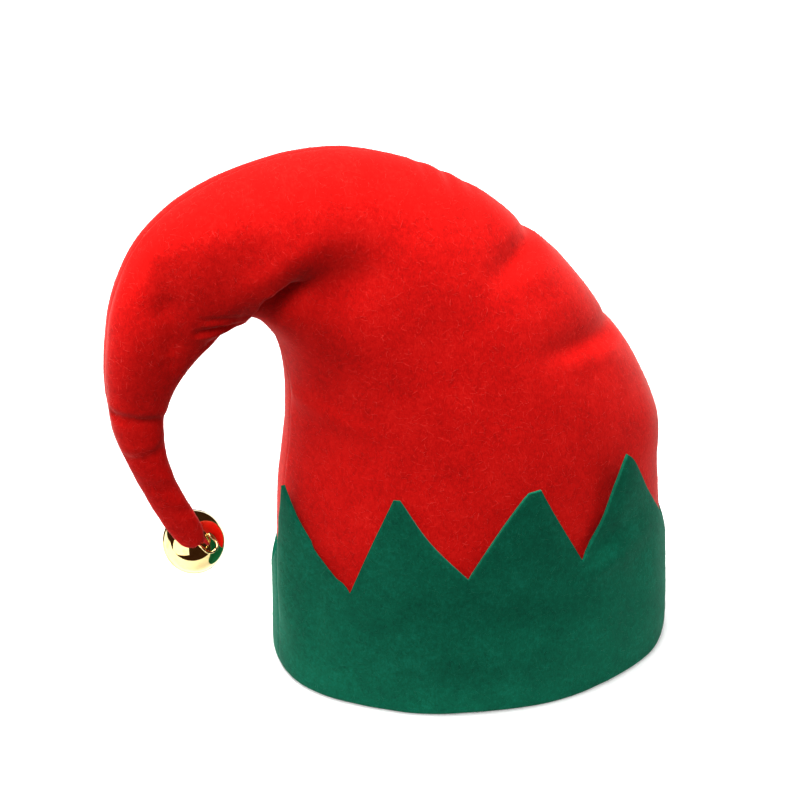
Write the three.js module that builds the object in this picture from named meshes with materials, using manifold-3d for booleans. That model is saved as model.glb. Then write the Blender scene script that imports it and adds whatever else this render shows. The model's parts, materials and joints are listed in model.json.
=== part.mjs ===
import * as THREE from 'three';
import { mergeVertices } from 'three/addons/utils/BufferGeometryUtils.js';
import Module from 'manifold-3d';

// A felt elf hat standing on its rim: a red crown of two panels that bends over into a hooked
// peak, a green cuff of two panels with a zigzag edge, and a jingle bell at the tip.
// Millimetres, +Z up. The seam plane is XZ, the peak hangs to -X and the front panel faces -Y.
// The origin is the centre of the head opening on the plane that the rim rests on.

// Crown
const HEAD_HALF_WIDTH = 92;
const HEAD_HALF_DEPTH = 69;
const CROWN_HEIGHT = 235;
const FELT_THICKNESS = 1.8;
const SEAM_GAP = 0.3;
const SEAM_PINCH = 1.2;
const SEAM_PINCH_REACH = 7;
const FOLD_DEPTH = 6;
const FOLD_WIDTH = 12;
const CROWN_COLUMNS = 18;
const STATIONS_PER_ROW = 2;
const STRAIGHT_ROWS = 5;
const INNER_TIP_SHARE = 0.3;

// Cuff
const CUFF_PEAK_HEIGHT = 104;
const CUFF_CLEARANCE = 0.8;
const TURN_UP_HEIGHT = 18;
const TOOTH_LIFT = 3;
const COLUMN_SHARE = 0.042;
const WALL_STEPS = 5;
const HEM_STEPS = 5;

// Bell
const BELL_RADIUS = 13.5;
const BELL_WALL = 0.6;
const BELL_CRIMP = 0.35;
const BELL_CRIMP_HEIGHT = 1.4;
const BELL_SLOT_WIDTH = 2.6;
const BELL_SLOT_REACH = 9.5;
const BELL_KEYHOLE_RADIUS = 1.8;
const BELL_LOOP_RADIUS = 2.7;
const BELL_LOOP_WIDTH = 2.4;
const BELL_LOOP_METAL = 0.9;
const BELL_LOOP_LEG = 1.2;
const BELL_LOOP_ROOT = 0.12;
const BELL_LOOP_SEAT = 1.1;
const BELL_LOOP_FROM_TIP = new THREE.Vector3(0.22, 0.865, -0.453).normalize();
const BELL_LOOP_DIRECTION = new THREE.Vector3(0.08, -0.88, 0.47).normalize();
const BELL_LOOP_ACROSS = new THREE.Vector3(0.8, 0.2, 0.5);
const PELLET_RADIUS = 3;
const PELLET_CLEARANCE = 0.4;
const ROUND_STEPS = 24;

// Sections of the crown from the rim to the tip. The inner edge is the seam on the peak's side,
// the outer edge the seam over the top. X is a share of the head's half width, Z of the crown's
// height and deep of the head's half depth; drift is how far the section lies behind the seam plane.
const SECTIONS = [
  { innerX: -0.98, innerZ: 0.014, outerX: 0.965, outerZ: 0.014, deep: 1.0, drift: 0 },
  { innerX: -0.977, innerZ: 0.13, outerX: 0.955, outerZ: 0.13, deep: 1.0, drift: 0 },
  { innerX: -0.978, innerZ: 0.255, outerX: 0.93, outerZ: 0.255, deep: 0.985, drift: 0 },
  { innerX: -0.965, innerZ: 0.375, outerX: 0.9, outerZ: 0.375, deep: 0.95, drift: 0 },
  { innerX: -0.93, innerZ: 0.47, outerX: 0.875, outerZ: 0.465, deep: 0.91, drift: 0 },
  { innerX: -0.92, innerZ: 0.55, outerX: 0.79, outerZ: 0.55, deep: 0.86, drift: 0 },
  { innerX: -0.935, innerZ: 0.613, outerX: 0.65, outerZ: 0.64, deep: 0.8, drift: 0 },
  { innerX: -0.97, innerZ: 0.655, outerX: 0.474, outerZ: 0.728, deep: 0.735, drift: 0 },
  { innerX: -1.015, innerZ: 0.681, outerX: 0.278, outerZ: 0.81, deep: 0.665, drift: 0 },
  { innerX: -1.055, innerZ: 0.696, outerX: 0.05, outerZ: 0.884, deep: 0.6, drift: 0 },
  { innerX: -1.085, innerZ: 0.702, outerX: -0.225, outerZ: 0.946, deep: 0.53, drift: 0 },
  { innerX: -1.12, innerZ: 0.704, outerX: -0.5, outerZ: 0.986, deep: 0.48, drift: 0 },
  { innerX: -1.165, innerZ: 0.7, outerX: -0.81, outerZ: 0.993, deep: 0.435, drift: 0 },
  { innerX: -1.225, innerZ: 0.687, outerX: -1.115, outerZ: 0.973, deep: 0.39, drift: 0 },
  { innerX: -1.295, innerZ: 0.666, outerX: -1.38, outerZ: 0.932, deep: 0.36, drift: 0 },
  { innerX: -1.365, innerZ: 0.638, outerX: -1.585, outerZ: 0.864, deep: 0.325, drift: 0 },
  { innerX: -1.425, innerZ: 0.609, outerX: -1.705, outerZ: 0.774, deep: 0.28, drift: 0 },
  { innerX: -1.475, innerZ: 0.572, outerX: -1.755, outerZ: 0.681, deep: 0.23, drift: 0 },
  { innerX: -1.5, innerZ: 0.528, outerX: -1.76, outerZ: 0.587, deep: 0.19, drift: 0 },
  { innerX: -1.495, innerZ: 0.477, outerX: -1.73, outerZ: 0.506, deep: 0.16, drift: 0 },
  { innerX: -1.455, innerZ: 0.413, outerX: -1.65, outerZ: 0.426, deep: 0.125, drift: -0.01 },
  { innerX: -1.395, innerZ: 0.36, outerX: -1.57, outerZ: 0.36, deep: 0.09, drift: -0.03 },
  { innerX: -1.355, innerZ: 0.323, outerX: -1.505, outerZ: 0.315, deep: 0.062, drift: -0.04 },
  { innerX: -1.355, innerZ: 0.298, outerX: -1.455, outerZ: 0.292, deep: 0.045, drift: -0.045 },
];
const TIP = { x: -1.4, z: 0.283, drift: -0.045 };

// Folds and dents, each along a line seen from the front. Ends as shares of the head's half width
// and the crown's height, width and depth as shares of the fold sizes; a depth below zero bulges.
// Side is -1 on the front panel, 1 on the back panel and 0 over the seam on both.
const FOLDS = [
  { side: -1, x0: -1.1, z0: 0.7, x1: -0.95, z1: 0.8, width: 0.45, depth: 0.8 },
  { side: -1, x0: -1.02, z0: 0.755, x1: -0.68, z1: 0.815, width: 1.3, depth: 0.6 },
  { side: -1, x0: -1.2, z0: 0.77, x1: -0.95, z1: 0.87, width: 1.4, depth: -0.3 },
  { side: -1, x0: -1.52, z0: 0.88, x1: -1.42, z1: 0.72, width: 1.0, depth: 0.45 },
  { side: -1, x0: -1.4, z0: 0.715, x1: -1.25, z1: 0.712, width: 0.4, depth: 0.35 },
  { side: -1, x0: -1.76, z0: 0.575, x1: -1.5, z1: 0.525, width: 0.4, depth: 0.3 },
  { side: -1, x0: -1.7, z0: 0.465, x1: -1.47, z1: 0.485, width: 0.4, depth: 0.25 },
  { side: 0, x0: -0.42, z0: 1.0, x1: -0.46, z1: 0.93, width: 0.7, depth: 0.35 },
  { side: 0, x0: -0.06, z0: 0.92, x1: -0.16, z1: 0.84, width: 0.8, depth: 0.2 },
  { side: 0, x0: 0.24, z0: 0.815, x1: -0.08, z1: 0.785, width: 0.8, depth: 0.45 },
  { side: 0, x0: 0.6, z0: 0.64, x1: 0.12, z1: 0.643, width: 0.7, depth: 0.5 },
  { side: 0, x0: 0.9, z0: 0.44, x1: 0.62, z1: 0.455, width: 1.1, depth: -0.45 },
  { side: 1, x0: -1.1, z0: 0.7, x1: -0.95, z1: 0.79, width: 0.5, depth: 0.7 },
  { side: 1, x0: -1.02, z0: 0.75, x1: -0.7, z1: 0.8, width: 1.3, depth: 0.5 },
  { side: 1, x0: -1.55, z0: 0.86, x1: -1.42, z1: 0.72, width: 1.0, depth: 0.3 },
  { side: 1, x0: -1.72, z0: 0.54, x1: -1.5, z1: 0.5, width: 0.4, depth: 0.3 },
  { side: -1, x0: -0.74, z0: 0.0, x1: -0.7, z1: 0.08, width: 1.1, depth: 0.35 },
  { side: -1, x0: 0.46, z0: 0.2, x1: 0.7, z1: 0.27, width: 0.9, depth: 0.25 },
  { side: 1, x0: 0.2, z0: 0.0, x1: 0.15, z1: 0.16, width: 1.4, depth: 0.3 },
];

// Teeth of the cuff, from the peak's side to the other side of each panel: place as a share of the
// panel's turn, height as a share of the peak height and lift as a share of the tooth lift.
const FRONT_TEETH = [
  { place: 0.0, height: 0.56, lift: 0 },
  { place: 0.02, height: 0.73, lift: 0.2 },
  { place: 0.039, height: 0.885, lift: 0.5 },
  { place: 0.208, height: 0.52, lift: 0 },
  { place: 0.286, height: 0.96, lift: 0.6 },
  { place: 0.297, height: 0.96, lift: 0.6 },
  { place: 0.338, height: 0.79, lift: 0.3 },
  { place: 0.4, height: 0.62, lift: 0 },
  { place: 0.488, height: 0.975, lift: 0.9 },
  { place: 0.506, height: 0.985, lift: 1.0 },
  { place: 0.586, height: 0.615, lift: 0 },
  { place: 0.626, height: 0.75, lift: 0.2 },
  { place: 0.646, height: 0.9, lift: 0.7 },
  { place: 0.66, height: 1.04, lift: 1.0 },
  { place: 0.676, height: 1.01, lift: 1.0 },
  { place: 0.735, height: 0.83, lift: 0.6 },
  { place: 0.79, height: 0.69, lift: 0.1 },
  { place: 0.87, height: 0.48, lift: 0 },
  { place: 0.91, height: 0.47, lift: 0 },
  { place: 1.0, height: 0.58, lift: 0 },
];
const BACK_TEETH = [
  { place: 0.0, height: 0.56, lift: 0 },
  { place: 0.025, height: 0.49, lift: 0 },
  { place: 0.08, height: 0.42, lift: 0 },
  { place: 0.15, height: 0.47, lift: 0 },
  { place: 0.227, height: 0.96, lift: 0.4 },
  { place: 0.31, height: 0.6, lift: 0 },
  { place: 0.43, height: 0.98, lift: 0.7 },
  { place: 0.55, height: 0.6, lift: 0 },
  { place: 0.67, height: 1.0, lift: 0.9 },
  { place: 0.79, height: 0.6, lift: 0 },
  { place: 0.905, height: 1.0, lift: 0.6 },
  { place: 1.0, height: 0.58, lift: 0 },
];

const RED_FELT = new THREE.MeshStandardMaterial({ color: 0xc31815, roughness: 0.95, metalness: 0 });
const GREEN_FELT = new THREE.MeshStandardMaterial({ color: 0x0d5c46, roughness: 0.95, metalness: 0 });
const GOLD = new THREE.MeshStandardMaterial({ color: 0xe6cf97, roughness: 0.12, metalness: 1 });
const STEEL = new THREE.MeshStandardMaterial({ color: 0x8f9194, roughness: 0.35, metalness: 1 });

// A value of the table's column at a place between rows, on a smooth curve through them.
function columnAt(rows, column, place) {
  const last = rows.length - 1;
  const row = Math.min(Math.floor(place), last - 1);
  const t = place - row;
  const before = rows[Math.max(row - 1, 0)][column];
  const start = rows[row][column];
  const end = rows[row + 1][column];
  const after = rows[Math.min(row + 2, last)][column];
  const bend = 2 * before - 5 * start + 4 * end - after;
  const twist = 3 * start - before - 3 * end + after;
  return start + 0.5 * t * (end - before + t * (bend + t * twist));
}

// The crown's section at a place in the table: an ellipse square to the seam plane.
function sectionAt(place) {
  const inner = new THREE.Vector3(
    columnAt(SECTIONS, 'innerX', place) * HEAD_HALF_WIDTH,
    columnAt(SECTIONS, 'drift', place) * HEAD_HALF_DEPTH,
    columnAt(SECTIONS, 'innerZ', place) * CROWN_HEIGHT,
  );
  const outer = new THREE.Vector3(
    columnAt(SECTIONS, 'outerX', place) * HEAD_HALF_WIDTH,
    inner.y,
    columnAt(SECTIONS, 'outerZ', place) * CROWN_HEIGHT,
  );
  const across = outer.clone().sub(inner);
  return {
    centre: inner.clone().add(outer).multiplyScalar(0.5),
    across: across.clone().normalize(),
    halfWidth: across.length() / 2,
    halfDepth: columnAt(SECTIONS, 'deep', place) * HEAD_HALF_DEPTH,
  };
}

// How far the felt is pushed in at a point by the folds on its side; facing is 0 at the seams
// and 1 where the panel faces straight out.
function foldDepth(x, z, side, facing) {
  let depth = 0;
  for (const fold of FOLDS) {
    if (fold.side === -side) {
      continue;
    }
    const x0 = fold.x0 * HEAD_HALF_WIDTH;
    const z0 = fold.z0 * CROWN_HEIGHT;
    const alongX = fold.x1 * HEAD_HALF_WIDTH - x0;
    const alongZ = fold.z1 * CROWN_HEIGHT - z0;
    const squared = alongX * alongX + alongZ * alongZ;
    const share = ((x - x0) * alongX + (z - z0) * alongZ) / squared;
    const held = THREE.MathUtils.clamp(share, 0, 1);
    const away = Math.hypot(x - x0 - held * alongX, z - z0 - held * alongZ);
    const reach = away / (fold.width * FOLD_WIDTH);
    const taper = Math.exp(-Math.pow(2 * held - 1, 4));
    const shown = fold.side === 0 ? 1 : facing;
    depth += fold.depth * FOLD_DEPTH * taper * shown * Math.exp(-reach * reach);
  }
  return depth;
}

// A point of the felt: turn runs from the outer seam at 0 to the inner seam at half a turn,
// side is -1 on the front panel and 1 on the back, inset is the distance inside the face.
function feltPoint(place, turn, side, inset) {
  const section = sectionAt(place);
  const cos = Math.cos(turn);
  const sin = Math.sin(turn);
  const face = section.centre.clone().addScaledVector(section.across, section.halfWidth * cos);
  const fromSeam = Math.min(turn, Math.PI - turn) * section.halfDepth;
  const pinch = SEAM_PINCH * Math.exp(-Math.pow(fromSeam / SEAM_PINCH_REACH, 2));
  const room = Math.min(section.halfWidth, section.halfDepth) / HEAD_HALF_DEPTH;
  const pushed = foldDepth(face.x, face.z, side, sin) + pinch * Math.min(1, 4 * room);
  const normal = new THREE.Vector2(cos / section.halfWidth, sin / section.halfDepth).normalize();
  const width = (section.halfWidth - inset) * cos - pushed * normal.x;
  const depth = (section.halfDepth - inset) * sin - pushed * normal.y;
  const point = section.centre.clone().addScaledVector(section.across, width);
  point.y += side * (depth + SEAM_GAP / 2);
  return point;
}

// The place in the table where the crown's section stands at a height above the rim, found by
// halving the stretch of the table where the sections still rise straight.
function placeAtHeight(height) {
  const halvings = 30;
  let low = 0;
  let high = STRAIGHT_ROWS;
  for (let step = 0; step < halvings; step += 1) {
    const middle = (low + high) / 2;
    if (sectionAt(middle).centre.z < height) {
      low = middle;
    } else {
      high = middle;
    }
  }
  return (low + high) / 2;
}

// A closed geometry from triangles, without those that have no area.
function closedGeometry(triangles) {
  const positions = [];
  for (const corners of triangles) {
    for (const corner of corners) {
      positions.push(corner.x, corner.y, corner.z);
    }
  }
  const loose = new THREE.BufferGeometry();
  loose.setAttribute('position', new THREE.Float32BufferAttribute(positions, 3));
  const welded = mergeVertices(loose, 1e-3);
  const index = Array.from(welded.index.array);
  const kept = [];
  for (let at = 0; at < index.length; at += 3) {
    const [a, b, c] = index.slice(at, at + 3);
    if (a !== b && b !== c && c !== a) {
      kept.push(a, b, c);
    }
  }
  welded.setIndex(kept);
  welded.computeVertexNormals();
  return welded;
}

// A sheet with two faces and its edges, from a grid of outer points and a grid of inner points.
function sheetGeometry(outer, inner, flipped) {
  const triangles = [];
  const quad = (a, b, c, d) => {
    const corners = flipped ? [[a, c, b], [a, d, c]] : [[a, b, c], [a, c, d]];
    triangles.push(...corners);
  };
  const rows = outer.length - 1;
  const columns = outer[0].length - 1;
  for (let i = 0; i < rows; i += 1) {
    for (let j = 0; j < columns; j += 1) {
      quad(outer[i][j], outer[i][j + 1], outer[i + 1][j + 1], outer[i + 1][j]);
      quad(inner[i][j], inner[i + 1][j], inner[i + 1][j + 1], inner[i][j + 1]);
    }
    quad(outer[i][0], outer[i + 1][0], inner[i + 1][0], inner[i][0]);
    quad(outer[i][columns], inner[i][columns], inner[i + 1][columns], outer[i + 1][columns]);
  }
  for (let j = 0; j < columns; j += 1) {
    quad(outer[0][j], inner[0][j], inner[0][j + 1], outer[0][j + 1]);
    quad(outer[rows][j], outer[rows][j + 1], inner[rows][j + 1], inner[rows][j]);
  }
  return closedGeometry(triangles);
}

// One felt panel of the crown, from the rim to the closed tip.
function crownPanel(side) {
  const outer = [];
  const inner = [];
  const stations = (SECTIONS.length - 1) * STATIONS_PER_ROW;
  for (let station = 0; station <= stations; station += 1) {
    const place = station / STATIONS_PER_ROW;
    const outerRow = [];
    const innerRow = [];
    for (let column = 0; column <= CROWN_COLUMNS; column += 1) {
      const turn = (Math.PI * column) / CROWN_COLUMNS;
      outerRow.push(feltPoint(place, turn, side, 0));
      innerRow.push(feltPoint(place, turn, side, FELT_THICKNESS));
    }
    outer.push(outerRow);
    inner.push(innerRow);
  }
  const tip = new THREE.Vector3(
    TIP.x * HEAD_HALF_WIDTH,
    TIP.drift * HEAD_HALF_DEPTH + side * (SEAM_GAP / 2),
    TIP.z * CROWN_HEIGHT,
  );
  const inside = sectionAt(SECTIONS.length - 1).centre;
  inside.y = tip.y;
  inside.lerp(tip, INNER_TIP_SHARE);
  outer.push(new Array(CROWN_COLUMNS + 1).fill(tip));
  inner.push(new Array(CROWN_COLUMNS + 1).fill(inside));
  return sheetGeometry(outer, inner, side < 0);
}

// The turns of a cuff panel's columns and the height and lift of its edge at each.
function cuffColumns(teeth) {
  const columns = [];
  for (let knot = 0; knot < teeth.length - 1; knot += 1) {
    const steps = Math.ceil((teeth[knot + 1].place - teeth[knot].place) / COLUMN_SHARE);
    for (let step = 0; step < steps; step += 1) {
      columns.push(toothAt(teeth[knot], teeth[knot + 1], step / steps));
    }
  }
  const last = teeth[teeth.length - 1];
  columns.push(toothAt(last, last, 0));
  return columns;
}

// A column of the cuff part of the way between two rows of its teeth.
function toothAt(start, end, share) {
  return {
    turn: Math.PI * (1 - THREE.MathUtils.lerp(start.place, end.place, share)),
    height: THREE.MathUtils.lerp(start.height, end.height, share) * CUFF_PEAK_HEIGHT,
    lift: THREE.MathUtils.lerp(start.lift, end.lift, share) * TOOTH_LIFT,
  };
}

// The cuff's section at one column: points from the toothed edge down the wall, round the hem
// and up the turned in edge. Out is the distance outside the crown's face. The hem's lowest facet
// lies flat on the rest plane.
function cuffProfile(column, face) {
  const points = [];
  const hemRadius = 1.5 * FELT_THICKNESS + CUFF_CLEARANCE;
  const hemHeight = hemRadius * Math.cos(Math.PI / (2 * HEM_STEPS));
  const hemOut = CUFF_CLEARANCE + FELT_THICKNESS - hemRadius;
  const radius = face > 0 ? hemRadius : hemRadius - FELT_THICKNESS;
  for (let step = 0; step < WALL_STEPS; step += 1) {
    const height = THREE.MathUtils.lerp(column.height, hemHeight, step / WALL_STEPS);
    const risen = Math.max(0, (2 * height) / CUFF_PEAK_HEIGHT - 1);
    points.push({ out: hemOut + radius + 2 * column.lift * risen * risen, height });
  }
  for (let step = 0; step <= HEM_STEPS; step += 1) {
    const angle = (Math.PI * step) / HEM_STEPS;
    points.push({
      out: hemOut + radius * Math.cos(angle),
      height: hemHeight - radius * Math.sin(angle),
    });
  }
  points.push({ out: hemOut - radius, height: TURN_UP_HEIGHT });
  return points;
}

// One felt panel of the cuff.
function cuffPanel(side, teeth) {
  const grids = [];
  for (const face of [1, -1]) {
    const grid = [];
    for (const column of cuffColumns(teeth)) {
      const profile = cuffProfile(column, face);
      profile.forEach((point, row) => {
        grid[row] = grid[row] ?? [];
        const felt = feltPoint(placeAtHeight(point.height), column.turn, side, -point.out);
        felt.z = point.height;
        grid[row].push(felt);
      });
    }
    grids.push(grid);
  }
  return sheetGeometry(grids[0], grids[1], side < 0);
}

const wasm = await Module();
wasm.setup();

// A manifold solid with the shape of a geometry.
function solidFrom(geometry) {
  const bare = geometry.clone();
  bare.deleteAttribute('normal');
  bare.deleteAttribute('uv');
  const welded = mergeVertices(bare, 1e-4);
  return new wasm.Manifold(new wasm.Mesh({
    numProp: 3,
    vertProperties: new Float32Array(welded.attributes.position.array),
    triVerts: new Uint32Array(welded.index.array),
  }));
}

// A geometry with the shape of a manifold solid.
function geometryFrom(solid) {
  const mesh = solid.getMesh();
  const geometry = new THREE.BufferGeometry();
  geometry.setAttribute('position', new THREE.Float32BufferAttribute(mesh.vertProperties, 3));
  geometry.setIndex(Array.from(mesh.triVerts));
  geometry.computeVertexNormals();
  return geometry;
}

// The bell's hollow ball about the Y axis, with the crimp round its middle.
function bellBall() {
  const profile = [];
  const outerSteps = 16;
  for (let step = 0; step <= outerSteps; step += 1) {
    const angle = Math.PI * (step / outerSteps - 0.5);
    const height = BELL_RADIUS * Math.sin(angle);
    const crimp = BELL_CRIMP * Math.exp(-Math.pow(height / BELL_CRIMP_HEIGHT, 2));
    profile.push(new THREE.Vector2((BELL_RADIUS + crimp) * Math.cos(angle), height));
  }
  profile[0].x = 0;
  profile[outerSteps].x = 0;
  const ball = solidFrom(new THREE.LatheGeometry(profile, ROUND_STEPS));
  const hollow = solidFrom(new THREE.SphereGeometry(BELL_RADIUS - BELL_WALL, ROUND_STEPS, 12));
  return ball.subtract(hollow);
}

// The cross of slots with round ends, cut through the wall on the side away from the loop.
function bellSlots() {
  const reach = BELL_SLOT_REACH;
  const along = new THREE.BoxGeometry(2 * reach, BELL_RADIUS, BELL_SLOT_WIDTH);
  const athwart = new THREE.BoxGeometry(BELL_SLOT_WIDTH, BELL_RADIUS, 2 * reach);
  let slots = solidFrom(along).add(solidFrom(athwart));
  for (const [x, z] of [[reach, 0], [-reach, 0], [0, reach], [0, -reach]]) {
    const keyhole = new THREE.CylinderGeometry(BELL_KEYHOLE_RADIUS, BELL_KEYHOLE_RADIUS, BELL_RADIUS, 10);
    slots = slots.add(solidFrom(keyhole.translate(x, 0, z)));
  }
  return slots.translate([0, -BELL_RADIUS, 0]);
}

// The loop over the top of the bell, a bent strip.
function bellLoop() {
  const foot = BELL_RADIUS - BELL_WALL - BELL_LOOP_ROOT;
  const shoulder = BELL_RADIUS + BELL_LOOP_LEG;
  const steps = 10;
  const points = [];
  for (let step = 0; step <= steps; step += 1) {
    const angle = Math.PI * (1 - step / steps);
    points.push(new THREE.Vector3(
      BELL_LOOP_RADIUS * Math.cos(angle),
      shoulder + BELL_LOOP_RADIUS * Math.sin(angle),
      0,
    ));
  }
  const path = new THREE.CatmullRomCurve3([
    new THREE.Vector3(-BELL_LOOP_RADIUS, foot, 0),
    ...points,
    new THREE.Vector3(BELL_LOOP_RADIUS, foot, 0),
  ]);
  const strip = new THREE.Shape();
  strip.moveTo(-BELL_LOOP_METAL / 2, -BELL_LOOP_WIDTH / 2);
  strip.lineTo(BELL_LOOP_METAL / 2, -BELL_LOOP_WIDTH / 2);
  strip.lineTo(BELL_LOOP_METAL / 2, BELL_LOOP_WIDTH / 2);
  strip.lineTo(-BELL_LOOP_METAL / 2, BELL_LOOP_WIDTH / 2);
  return solidFrom(new THREE.ExtrudeGeometry(strip, { steps: 12, bevelEnabled: false, extrudePath: path }));
}

// The bell's centre: its loop lies against the inner edge of the tip, which it is sewn to.
function bellCentre() {
  const tail = sectionAt(SECTIONS.length - 1);
  const reach = BELL_LOOP_RADIUS + BELL_LOOP_METAL / 2 + BELL_LOOP_SEAT;
  const centre = tail.centre.clone().addScaledVector(tail.across, -tail.halfWidth);
  centre.addScaledVector(BELL_LOOP_FROM_TIP, reach);
  return centre.addScaledVector(BELL_LOOP_DIRECTION, -(BELL_RADIUS + BELL_LOOP_LEG));
}

// The bell's shell with its slots and loop in one solid.
function bellShell() {
  const shell = bellBall().subtract(bellSlots()).add(bellLoop());
  const up = BELL_LOOP_DIRECTION;
  const across = BELL_LOOP_ACROSS.clone().addScaledVector(up, -BELL_LOOP_ACROSS.dot(up)).normalize();
  const turned = new THREE.Matrix4().makeBasis(across, up, across.clone().cross(up));
  turned.setPosition(bellCentre());
  return geometryFrom(shell).applyMatrix4(turned);
}

// The loose ball at the lowest point inside the bell.
function bellPellet() {
  const drop = BELL_RADIUS - BELL_WALL - PELLET_RADIUS - PELLET_CLEARANCE;
  const ball = new THREE.SphereGeometry(PELLET_RADIUS, ROUND_STEPS / 2, ROUND_STEPS / 4);
  ball.rotateX(Math.PI / 2);
  const centre = bellCentre();
  ball.translate(centre.x, centre.y, centre.z - drop);
  return geometryFrom(solidFrom(ball));
}

// A named piece of the hat.
function piece(name, geometry, material) {
  const mesh = new THREE.Mesh(geometry, material.clone());
  mesh.name = name;
  return mesh;
}

const group = new THREE.Group();
group.name = 'elf_hat';
group.add(piece('crown_front', crownPanel(-1), RED_FELT));
group.add(piece('crown_back', crownPanel(1), RED_FELT));
group.add(piece('cuff_front', cuffPanel(-1, FRONT_TEETH), GREEN_FELT));
group.add(piece('cuff_back', cuffPanel(1, BACK_TEETH), GREEN_FELT));
group.add(piece('bell_shell', bellShell(), GOLD));
group.add(piece('bell_pellet', bellPellet(), STEEL));

export default group;
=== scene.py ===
"""Dresses the elf hat: napped felt panels, cut edges, loose fibres, sewing thread and the jingle bell."""

import json
import logging
import math
import random
from dataclasses import dataclass, field
from enum import Enum

import bmesh
import bpy
from bmesh.types import BMesh, BMFace, BMVert
from bpy.types import Collection, Material, Node, NodeSocket, NodeTree, Object
from mathutils import Matrix, Vector, noise

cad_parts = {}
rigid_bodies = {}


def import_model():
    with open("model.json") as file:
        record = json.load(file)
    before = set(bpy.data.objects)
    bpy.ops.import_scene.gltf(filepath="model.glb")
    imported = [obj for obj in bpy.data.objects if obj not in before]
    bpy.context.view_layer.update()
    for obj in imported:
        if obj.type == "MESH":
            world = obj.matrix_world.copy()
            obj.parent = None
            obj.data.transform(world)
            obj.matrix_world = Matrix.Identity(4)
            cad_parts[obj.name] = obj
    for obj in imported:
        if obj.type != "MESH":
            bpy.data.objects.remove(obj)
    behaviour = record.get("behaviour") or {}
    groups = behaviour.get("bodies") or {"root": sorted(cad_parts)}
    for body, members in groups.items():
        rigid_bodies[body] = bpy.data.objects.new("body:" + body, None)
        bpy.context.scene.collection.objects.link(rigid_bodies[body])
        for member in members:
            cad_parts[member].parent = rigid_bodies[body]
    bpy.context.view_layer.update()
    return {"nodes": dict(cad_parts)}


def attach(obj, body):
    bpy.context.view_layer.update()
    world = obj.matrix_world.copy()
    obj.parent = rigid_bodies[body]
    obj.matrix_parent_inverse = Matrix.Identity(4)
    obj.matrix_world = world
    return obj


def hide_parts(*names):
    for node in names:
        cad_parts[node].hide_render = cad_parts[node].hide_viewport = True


log = logging.getLogger("elf_hat")

MM = 0.001
BODY = "root"
FELT_THICKNESS = 1.8 * MM
SEAM_GAP = 0.3 * MM
SEAM_CALM = 5.0 * MM
WELD = 0.02 * MM
MERGE = 0.001 * MM
CREASE_NEAR = 2.2
CREASE_END = 4.0
SEED = 12
ORIGIN = (0.0, 0.0, 0.0)
UP = (0.0, 0.0, 1.0)


class Side(Enum):
    """Which panels of the hat a fold shows on, as the sign of Y."""

    FRONT = -1
    BOTH = 0
    BACK = 1


def linear(colour: str) -> tuple[float, float, float, float]:
    """Turns an sRGB hex colour to linear.

    Args:
        colour: Six hex digits.

    Returns:
        Linear red, green and blue, and an alpha of 1.
    """
    channels = [int(colour[at : at + 2], 16) / 255 for at in (0, 2, 4)]
    bent = [c / 12.92 if c <= 0.04045 else ((c + 0.055) / 1.055) ** 2.4 for c in channels]
    return (*bent, 1.0)


def add_node(tree: NodeTree, kind: str, inputs: dict | None = None, **settings) -> Node:
    """Adds a node with its settings and links.

    Args:
        tree: The node tree.
        kind: The node's type.
        inputs: A value or a socket for each named or numbered input.
        settings: The node's own properties.

    Returns:
        The node.
    """
    node = tree.nodes.new(kind)
    for name, value in settings.items():
        setattr(node, name, value)
    for name, value in (inputs or {}).items():
        if isinstance(value, NodeSocket):
            tree.links.new(value, node.inputs[name])
        else:
            node.inputs[name].default_value = value
    return node


def new_material(name: str) -> tuple[Material, NodeTree, NodeSocket]:
    """Makes an empty node material.

    Args:
        name: The material's name.

    Returns:
        The material, its cleared node tree and the object's coordinates.
    """
    material = bpy.data.materials.new(name)
    material.use_nodes = True
    tree = material.node_tree
    tree.nodes.clear()
    return material, tree, add_node(tree, "ShaderNodeTexCoord").outputs["Object"]


def ramp(tree: NodeTree, factor: NodeSocket,
         stops: list[tuple[float, str]]) -> NodeSocket:
    """Adds a colour ramp.

    Args:
        tree: The node tree.
        factor: What drives the ramp.
        stops: Place and hex colour of each stop, in rising order.

    Returns:
        The ramp's colour output.
    """
    node = add_node(tree, "ShaderNodeValToRGB", {"Fac": factor})
    elements = node.color_ramp.elements
    while len(elements) < len(stops):
        elements.new(0.5)
    for element, (place, colour) in zip(elements, stops):
        element.position = place
        element.color = linear(colour)
    return node.outputs["Color"]


def scaled_sum(tree: NodeTree, value: NodeSocket, share: float,
               rest: NodeSocket | float) -> NodeSocket:
    """Adds a share of a value to the rest and returns the sum."""
    inputs = {0: value, 1: share, 2: rest}
    return add_node(tree, "ShaderNodeMath", inputs, operation="MULTIPLY_ADD").outputs[0]


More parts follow.
